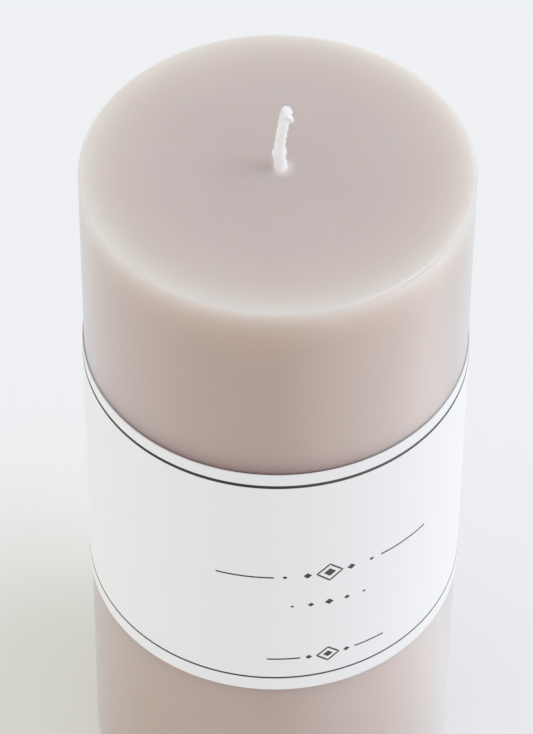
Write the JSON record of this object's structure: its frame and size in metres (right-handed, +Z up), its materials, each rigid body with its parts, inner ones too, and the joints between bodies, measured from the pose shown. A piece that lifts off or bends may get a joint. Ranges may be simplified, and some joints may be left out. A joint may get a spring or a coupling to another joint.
{
  "type": "pillar candle",
  "caption": "Round wax pillar candle with a flat top, a waxed cotton wick bent over at its tip and a white paper band with thin black rules.",
  "frame": {"origin": "centre of the base, on the surface that the candle stands on", "axes": "+Z up along the pillar, -Y towards the printed front of the band, +X to the right of the front"},
  "size_m": [0.0696, 0.0698, 0.1648],
  "materials": {
    "wax": "greige wax, faintly translucent, satin",
    "wick": "plaited cotton primed with white wax",
    "paper": "smooth uncoated white paper printed with black rules"
  },
  "bodies": {
    "root": {"wax_body": "wax", "wick": "wick", "paper_band": "paper"}
  },
  "joints": []
}
